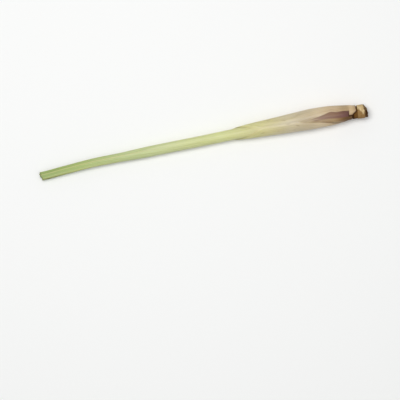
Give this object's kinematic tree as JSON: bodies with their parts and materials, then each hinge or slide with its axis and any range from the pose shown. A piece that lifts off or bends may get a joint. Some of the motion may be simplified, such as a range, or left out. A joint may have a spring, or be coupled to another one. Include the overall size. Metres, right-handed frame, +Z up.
{
  "type": "lemongrass stalk",
  "caption": "Fresh trimmed lemongrass stalk lying on its side: woody root crown, swollen pale base wrapped in overlapping leaf sheaths, and slim green leaves cut across at the tip.",
  "frame": {"origin": "on the surface that the stalk lies on, under the middle of its bounding box", "axes": "+X along the stalk towards its cut root end, +Z up, and +Y to the side that the middle of the stalk bows to"},
  "size_m": [0.3351, 0.0203, 0.0196],
  "materials": {
    "woody_crown": "matte",
    "outer_sheath": "satin",
    "pale_green_leaf": "satin",
    "green_leaf": "satin",
    "spear_leaf": "satin"
  },
  "bodies": {
    "root": {"root_crown": "woody_crown", "leaf_1": "outer_sheath", "leaf_2": "pale_green_leaf", "leaf_3": "green_leaf", "leaf_4": "green_leaf", "leaf_5": "green_leaf", "spear_leaf": "spear_leaf"}
  },
  "joints": []
}
